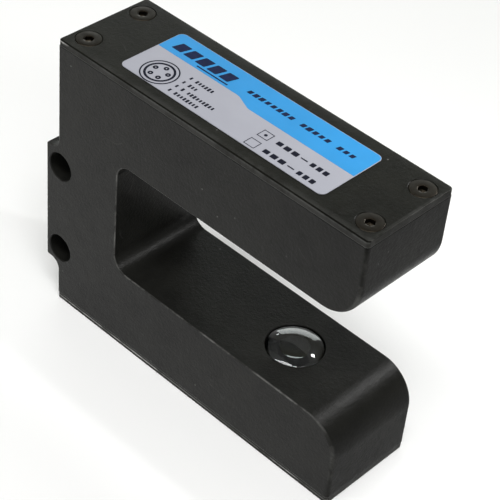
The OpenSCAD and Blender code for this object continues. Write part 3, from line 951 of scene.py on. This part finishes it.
def bar(x0, x1, yc, h, slant=0.0, r=0.12):
    """A plain bar with slightly rounded ends."""
    y0, y1 = yc - h / 2, yc + h / 2
    r = min(r, h / 2)
    pts = []
    for cx, cy, a0 in ((x1 - r, y0 + r, -90), (x1 - r, y1 - r, 0), (x0 + r, y1 - r, 90), (x0 + r, y0 + r, 180)):
        for i in range(4):
            a = math.radians(a0 + 30 * i)
            x, y = cx + r * math.cos(a), cy + r * math.sin(a)
            pts.append((x + slant * (y - yc), y))
    return pts


# film
film = plate("label_film_base", plan_outline(LX0, LX1, LW, 1.5, 1.5, 12, 12), LZ, LZ + 0.11, 0.05, None, edge_wear_and_highlight=False, segments=2)
film = to_object("label_film_base", film, [MAT["label"]])
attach(film, BODY)
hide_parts("label")

# blue band along the far edge, with its slanted step
e = 0.12
outer = plan_outline(LX0 + e, LX1 - e, LW - 2 * e, 1.4, 1.4, 12, 12)
band = [(x, y) for x, y in outer if y > 1.0]
band = [(LX1 - e, 0.1)] + [(x, y) for x, y in band] + [(LX0 + e, 1.9), (38.8, 1.9), (39.4, 1.8), (43.2, 0.2), (43.8, 0.1)]
bandm = to_object("label_blue_band", flat_piece([band], LZ + 0.108, LZ + 0.125), [MAT["blue"]], smooth=False)
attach(bandm, BODY)

# printed marks: plain bars stand where the lines of print are
marks = []


def blocks(x0, x1, yc, h, count, gap, slant=0.0, skip=(), vary=0.0, r=0.1):
    """A row of separate blocks, with blanks where skip says so."""
    w = (x1 - x0 + gap) / count - gap
    for k in range(count):
        if k in skip:
            continue
        t = vary * math.sin(2.4 * k + 1.1)
        xa = x0 + k * (w + gap)
        marks.append(bar(xa + abs(t) * 0.15 * w, xa + w - abs(t) * 0.1 * w, yc, h * (1 - abs(t) * 0.25), slant, r))


blocks(17.9, 34.6, 4.95, 2.9, 5, 0.75, 0.28, r=0.25)
marks.append(bar(26.0, 35.0, 2.75, 0.38, 0.0, 0.1))
blocks(39.2, 68.6, 4.65, 1.35, 18, 0.34, 0.25, skip=(8, 14), vary=0.8)
for i, (count, x1) in enumerate(((8, 35.0), (5, 32.3), (13, 39.3), (10, 36.7))):
    blocks(28.3, x1, (-1.4, -3.5, -5.55, -7.6)[i], 1.15, count, 0.26, skip=(1,) if i != 2 else (1, 3), vary=1.0, r=0.08)
for y, x1a in ((-3.5, 68.9), (-7.4, 68.8)):
    blocks(55.1, 60.9, y, 1.35, 3, 0.5, vary=0.5, r=0.15)
    marks.append(bar(61.6, 63.4, y, 0.3, 0, 0.1))
    blocks(64.2, x1a, y, 1.35, 3, 0.45, vary=0.5, r=0.15)
on_band = [m for m in marks if m[0][1] > 1.95]
marks = [m for m in marks if m[0][1] <= 1.95]
navy = to_object("label_band_marks", flat_piece(on_band, LZ + 0.12, LZ + 0.14), [MAT["navy"]], smooth=False)
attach(navy, BODY)
bm = flat_piece(marks, LZ + 0.108, LZ + 0.138)
# two tick boxes, one ticked with a dot
for yc in (-3.55, -7.4):
    x0, x1, h, w = 50.7, 53.5, 1.25, 0.16
    for p in ([(x0, yc - h), (x1, yc - h), (x1, yc - h + w), (x0, yc - h + w)], [(x0, yc + h - w), (x1, yc + h - w), (x1, yc + h), (x0, yc + h)],
              [(x0, yc - h + w), (x0 + w, yc - h + w), (x0 + w, yc + h - w), (x0, yc + h - w)], [(x1 - w, yc - h + w), (x1, yc - h + w), (x1, yc + h - w), (x1 - w, yc + h - w)]):
        b2 = flat_piece([p], LZ + 0.108, LZ + 0.138)
        me = bpy.data.meshes.new("t")
        b2.to_mesh(me)
        b2.free()
        bm.from_mesh(me)
        bpy.data.meshes.remove(me)
revolve(bm, [(0, LZ + 0.108), (0.38, LZ + 0.108), (0.38, LZ + 0.138), (0, LZ + 0.138)], 24, centre=(52.1, -3.55, 0))
# drawing of the round connector
dx, dy = 22.75, -4.85
ring_piece(bm, dx, dy, 4.00, 4.32, LZ + 0.108, LZ + 0.138, 96)
ring_piece(bm, dx, dy, 2.92, 3.45, LZ + 0.108, LZ + 0.138, 96)
for k in range(5):
    a = math.radians(90 + 72 * k)
    ring_piece(bm, dx + 1.95 * math.cos(a), dy + 1.95 * math.sin(a), 0.18, 0.62, LZ + 0.108, LZ + 0.138, 24)
inkm = to_object("label_marks", bm, [MAT["ink"]], smooth=False)
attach(inkm, BODY)


# ------------------------------------------------------------------ lenses

LENS_OPEN = 3.0


def lens_mesh(flip, zflat, top):
    """Plano-convex lens with a ground bevel round its edge. zflat is the flat side, top the crown, both as heights."""
    bm = bmesh.new()
    s = -1 if flip else 1
    r = LENS_R
    edge, crown = 1.2, abs(top - zflat)
    dome = crown - edge
    sr = (r * r + dome * dome) / (2 * dome)
    prof = [(0, 0), (LENS_OPEN, 0), (r - 0.2, 0), (r - 0.05, 0.05), (r, 0.2)]
    bev = 0.5
    amax = math.asin((r - bev) / (sr - bev))
    n = 30
    zc = crown - sr
    ce = (r - bev, zc + (sr - bev) * math.cos(amax))
    for i in range(8):
        a = math.pi / 2 + (amax - math.pi / 2) * i / 8
        prof.append((ce[0] + bev * math.sin(a), ce[1] + bev * math.cos(a)))
    for i in range(n + 1):
        a = amax * (1 - i / n)
        prof.append((sr * math.sin(a) if i < n else 0, zc + sr * math.cos(a)))
    prof = [(p, zflat + s * h) for p, h in prof]
    revolve(bm, prof, 128, centre=(LENS_X, 0, 0))
    # the edge and the seating ring round the clear opening are blackened
    for f in bm.faces:
        if all(s * (v.co.z - zflat) < ce[1] + 0.01 and math.hypot(v.co.x - LENS_X, v.co.y) > LENS_OPEN - 0.01 for v in f.verts):
            f.material_index = 1
    return bm


for name, cad, flip in (("emitter_lens_glass", "emitter_lens", False), ("receiver_lens_glass", "receiver_lens", True)):
    lo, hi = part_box(cad)
    zf, zt = (hi.z, lo.z) if flip else (lo.z, hi.z)
    o = to_object(name, lens_mesh(flip, zf * 1000, zt * 1000), [MAT["glass"], MAT["lens_edge"]], angle=20, weighted=False)
    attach(o, BODY)
    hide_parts(cad)


# ------------------------------------------------------------------ connector

def build_shell():
    bm = bmesh.new()
    seg = 96
    r_out, r_in = 6.0, 4.8
    pitch, depth = 1.0, 0.5
    x_mouth, x_root = -CON_OUT, -2.0

    def ring(x, rf):
        return [bm.verts.new((x, rf(a) * math.cos(a), CON_Z + rf(a) * math.sin(a))) for a in (2 * math.pi * i / seg for i in range(seg))]

    rs = [ring(x_mouth + 0.25, lambda a: r_in), ring(x_mouth, lambda a: r_in + 0.2), ring(x_mouth, lambda a: r_out - 0.75)]
    t0, t1 = x_mouth + 0.35, x_root - 0.5
    rows = int((t1 - t0) / pitch * 10)
    for k in range(rows + 1):
        x = t0 + (t1 - t0) * k / rows
        fade = min(1, (x - t0) / 0.3 + 0.4, (t1 - x) / 0.3)

        def rf(a, x=x, fade=fade):
            ph = (x / pitch + a / (2 * math.pi)) % 1
            tri = abs(2 * ph - 1)
            flat = min(1, max(0, (tri - 0.12) / 0.76))
            return r_out - 0.02 - depth * (1 - flat) * max(0, fade) - (0.35 * max(0, 1 - (x - t0) / 0.5) if x - t0 < 0.5 else 0)

        rs.append(ring(x, rf))
    rs.append(ring(x_root - 0.05, lambda a: 5.45))
    # flange with two flats and broken edges
    def fl(a, r):
        c = abs(math.sin(a))
        return min(r, 7.0 / max(c, 1e-6)) if c * r > 7.0 else r

    rs += [ring(x_root, lambda a: 5.5), ring(x_root, lambda a: fl(a, 7.2)), ring(x_root + 0.25, lambda a: fl(a, 7.5)), ring(-0.75, lambda a: fl(a, 7.5)), ring(-0.5, lambda a: fl(a, 7.25)),
           ring(-0.5, lambda a: 5.5), ring(10.8, lambda a: 5.5), ring(11.0, lambda a: 5.3), ring(11.0, lambda a: 4.8)]
    for a, b in zip(rs, rs[1:] + [rs[0]]):
        for i in range(seg):
            j = (i + 1) % seg
            bm.faces.new([a[i], a[j], b[j], b[i]])
    return bm


shell = to_object("connector_shell_turned", build_shell(), [MAT["nickel"]], angle=32)
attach(shell, BODY)
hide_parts("connector_shell")


def build_insert():
    """Moulded disc with five stepped pin holes and a raised rim."""
    bm = bmesh.new()
    prof = [(0, -1.5), (3.9, -1.5), (3.95, -1.2), (4.55, -1.2), (4.75, -1.0), (4.75, 9.3), (4.55, 9.5), (0, 9.5)]
    revolve(bm, prof, 72, axis="X", centre=(0, 0, CON_Z))
    ob = object_from(bm, "connector_insert_moulded")
    cuts = []
    for k in range(5):
        a = math.radians(90 + 72 * k)
        b = bmesh.new()
        y, z = 2.6 * math.cos(a), CON_Z + 2.6 * math.sin(a)
        revolve(b, [(0, -3), (0.95, -3), (0.95, -1.25), (0.53, -1.1), (0.53, 11), (0, 11)], 32, axis="X", centre=(0, y, z))
        cuts.append(b)
    ob = boolean(ob, object_from(joined(cuts), "cut"))
    for v in ob.data.vertices:
        v.co = rowframe(v.co)
    ob.data.materials.clear()
    ob.data.materials.append(MAT["insert"])
    shade(ob, 30)
    return ob


ins = build_insert()
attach(ins, BODY)
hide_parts("connector_insert")

parts = []
P_LO, P_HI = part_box("connector_pins")
px0, px1 = (P_LO.x - X0) * 1000, (P_HI.x - X0) * 1000
for k in range(5):
    a = math.radians(90 + 72 * k)
    y, z = 2.6 * math.cos(a), CON_Z + 2.6 * math.sin(a)
    b = bmesh.new()
    prof = [(0, px0)]
    for i in range(1, 9):
        t = math.pi / 2 * i / 8
        prof.append((0.5 * math.sin(t), px0 + 0.5 * (1 - math.cos(t))))
    prof += [(0.5, 9.6), (0.5, px1 - 0.1), (0.42, px1), (0.3, px1), (0.28, px1 - 1.2), (0, px1 - 1.2)]
    revolve(b, prof, 28, axis="X", centre=(0, y, z))
    parts.append(b)
pins = to_object("connector_contact_pins", joined(parts), [MAT["pin"]], angle=30, weighted=False)
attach(pins, BODY)
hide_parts("connector_pins")


# ------------------------------------------------------------------ materials on the CAD pieces that stay

KEEP = {
    "emitter_lens_seal": "gasket", "receiver_lens_seal": "gasket",
    "connector_seal": "gasket", "emitter_light_tube": "tube", "receiver_light_tube": "tube", "emitter_led": "led",
    "receiver_photodiode": "photodiode", "emitter_board": "board", "main_board": "board", "emitter_board_screws": "steel",
    "main_board_screws": "steel", "emitter_driver_chip": "chip", "amplifier_chip": "chip", "voltage_regulator": "chip",
    "emitter_capacitor": "can", "filter_capacitors": "can", "emitter_resistors": "resistor", "board_resistors": "resistor",
    "emitter_header": "header", "main_headers": "header", "gain_trimmer_body": "trimmer", "gain_trimmer_rotor": "rotor",
    "connector_nut": "nickel", "connector_wires": "wire_red", "link_wires": "wire_blue",
}
for n, k in KEEP.items():
    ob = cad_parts[n]
    for s in ob.material_slots:
        s.material = MAT[k]
    if not ob.material_slots:
        ob.data.materials.append(MAT[k])


# ------------------------------------------------------------------ stage, lights, camera

scene = bpy.context.scene

floor_mat, nt, p = new_material("floor")
v = coords(nt)
nt.links.new(mix(nt, noise(nt, v, 6, 2), (0.92, 0.92, 0.92), (0.94, 0.94, 0.94)), p.inputs["Base Color"])
p.inputs["Roughness"].default_value = 0.9
p.inputs["Specular IOR Level"].default_value = 0.1
bm = bmesh.new()
bmesh.ops.create_grid(bm, x_segments=4, y_segments=4, size=4.0)
me = bpy.data.meshes.new("floor")
bm.to_mesh(me)
bm.free()
floor = bpy.data.objects.new("floor", me)
floor.location.z = -0.00005
me.materials.append(floor_mat)
scene.collection.objects.link(floor)

world = bpy.data.worlds.new("studio")
scene.world = world
world.use_nodes = True
wn = world.node_tree
bg = wn.nodes["Background"]
tc = wn.nodes.new("ShaderNodeTexCoord")
sep = wn.nodes.new("ShaderNodeSeparateXYZ")
wn.links.new(tc.outputs["Generated"], sep.inputs[0])
wr = wn.nodes.new("ShaderNodeValToRGB")
els = wr.color_ramp.elements
els[0].position, els[0].color = 0.0, (0.8, 0.8, 0.8, 1)
els[1].position, els[1].color = 1.0, (0.45, 0.45, 0.45, 1)
x = els.new(0.06)
x.color = (0.36, 0.36, 0.36, 1)
x = els.new(0.45)
x.color = (0.165, 0.165, 0.125, 1)
wn.links.new(sep.outputs["Z"], wr.inputs["Fac"])
lp = wn.nodes.new("ShaderNodeLightPath")
back = wn.nodes.new("ShaderNodeMix")
back.data_type = "RGBA"
back.inputs[7].default_value = (0.90, 0.90, 0.90, 1)
wn.links.new(lp.outputs["Is Camera Ray"], back.inputs[0])
wn.links.new(wr.outputs["Color"], back.inputs[6])
wn.links.new(back.outputs[2], bg.inputs["Color"])
bg.inputs["Strength"].default_value = 1.0


def area(name, direction, distance, size, radiance, size_y=None, target=(0.02, 0, 0.03), colour=(1, 1, 1)):
    """A soft light in a given direction; radiance is what a mirror would show."""
    d = Vector(direction).normalized()
    data = bpy.data.lights.new(name, "AREA")
    data.shape = "RECTANGLE"
    data.size = size
    data.size_y = size_y or size
    data.energy = radiance * math.pi * size * (size_y or size)
    data.color = colour
    o = bpy.data.objects.new(name, data)
    o.location = Vector(target) + d * distance
    o.rotation_mode = "QUATERNION"
    o.rotation_quaternion = d.to_track_quat("Z", "Y")
    scene.collection.objects.link(o)
    return o


lamp_at = Vector((95 / 1000 + X0, 0.062, 0.100))
area("lamp", lamp_at - Vector((0.02, 0, 0.03)), (lamp_at - Vector((0.02, 0, 0.03))).length, 0.0105, 122.0)
area("window", (-0.565, 0.80, 0.19), 1.3, 1.0, 2.9, 0.52, colour=(0.92, 0.98, 0.96))
area("glint", (-0.844, 0.474, 0.257), 1.2, 0.06, 22.0)
strip = area("overhead", (-0.05, -0.37, 0.90), 1.15, 1.30, 12.5, 0.17)
# its long side runs along the arms, turned a little in plan
n = Vector((-0.05, -0.37, 0.90)).normalized()
along = Vector((0.91, 0.30, 0.12))
along = (along - n * along.dot(n)).normalized()
across = n.cross(along)
strip.rotation_quaternion = Matrix((along, across, n)).transposed().to_quaternion().normalized()
area("fill", (0.55, -0.30, 1.0), 1.4, 0.9, 1.3)
side = area("side", (0.58, -0.44, 0.62), 1.2, 0.80, 9.0, 0.14)
n = Vector((0.58, -0.44, 0.62)).normalized()
along = Vector((0.59, 0.69, -0.05))
along = (along - n * along.dot(n)).normalized()
side.rotation_quaternion = Matrix((along, n.cross(along), n)).transposed().to_quaternion().normalized()

# two cards lying to the right of the sensor, seen only in its reflections: a grey one beyond the arm tips and a black one before them
def card(name, tone, corners):
    mat, nt, p = new_material(name)
    nt.links.new(mix(nt, noise(nt, coords(nt), 6, 2), (tone * 0.97,) * 3, (tone * 1.03,) * 3), p.inputs["Base Color"])
    p.inputs["Roughness"].default_value = 0.9
    bm = bmesh.new()
    bm.faces.new([bm.verts.new((x, y, 0.0004)) for x, y in corners])
    me = bpy.data.meshes.new(name)
    bm.to_mesh(me)
    bm.free()
    me.materials.append(mat)
    ob = bpy.data.objects.new(name, me)
    scene.collection.objects.link(ob)
    ob.visible_camera = False
    ob.visible_diffuse = False
    ob.visible_shadow = False
    ob.visible_transmission = False


px, py = (L + 0.6) / 1000 + X0, -(HALF + 0.3) / 1000
card("card_grey", 0.40, [(px, py), (px + 0.40, py), (px + 0.40, 0.40), (px, 0.40)])
fan = [(px, py)] + [(px + 0.4 * math.cos(math.radians(t)), py + 0.4 * math.sin(math.radians(t))) for t in (-78, -60, -40, -20, -4)]
card("card_black", 0.03, fan)

cam_data = bpy.data.cameras.new("camera")
cam = bpy.data.objects.new("camera", cam_data)
scene.collection.objects.link(cam)
cam_data.sensor_width = 36
cam_data.lens = 1646.635 * 36 / 500
cam_data.clip_start, cam_data.clip_end = 0.01, 20
scene.camera = cam
R = ((0.713935, 0.695831, 0.078212), (0.497120, -0.425027, -0.756455), (-0.493122, 0.578940, -0.649353))
cam_pos = (222.634 / 1000 + X0, -204.991 / 1000, 268.912 / 1000)
rot = Matrix(((R[0][0], -R[1][0], -R[2][0]), (R[0][1], -R[1][1], -R[2][1]), (R[0][2], -R[1][2], -R[2][2])))
q = rot.to_quaternion()
q.normalize()
cam.rotation_mode = "QUATERNION"
cam.rotation_quaternion = q
cam.location = cam_pos

scene.view_settings.view_transform = "Standard"
scene.view_settings.look = "None"
